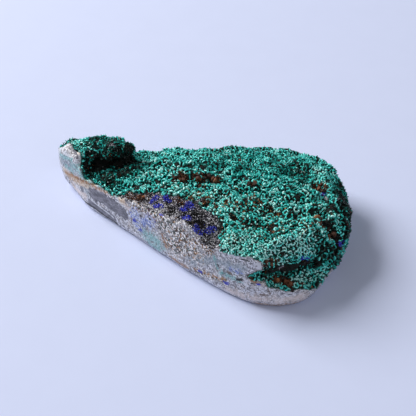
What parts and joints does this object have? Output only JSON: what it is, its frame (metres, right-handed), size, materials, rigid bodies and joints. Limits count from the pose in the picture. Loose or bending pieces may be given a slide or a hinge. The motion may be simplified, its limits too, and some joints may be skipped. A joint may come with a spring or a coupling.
{
  "type": "azurite specimen",
  "caption": "Pear-shaped copper-ore stone with a flat ground back and side, and a natural lumpy top of green malachite druse with blue azurite.",
  "frame": {"origin": "on the ground back, under the middle of the stone's box", "axes": "+X towards the broad end along the stone's length, +Y towards the side that the hood backs onto, +Z out of the natural top"},
  "size_m": [0.0522, 0.0308, 0.0105],
  "materials": {
    "malachite": "rough crust of small blades and needles, dark green in its pits and pale blue-green on its tips",
    "matrix": "ground smooth and satin, pale grey quartz with grey, cream, rust and light blue-green stains",
    "azurite": "small deep blue crystals with bright faces",
    "limonite": "rough brown iron oxide flakes"
  },
  "bodies": {
    "root": {"stone": "malachite"}
  },
  "joints": []
}
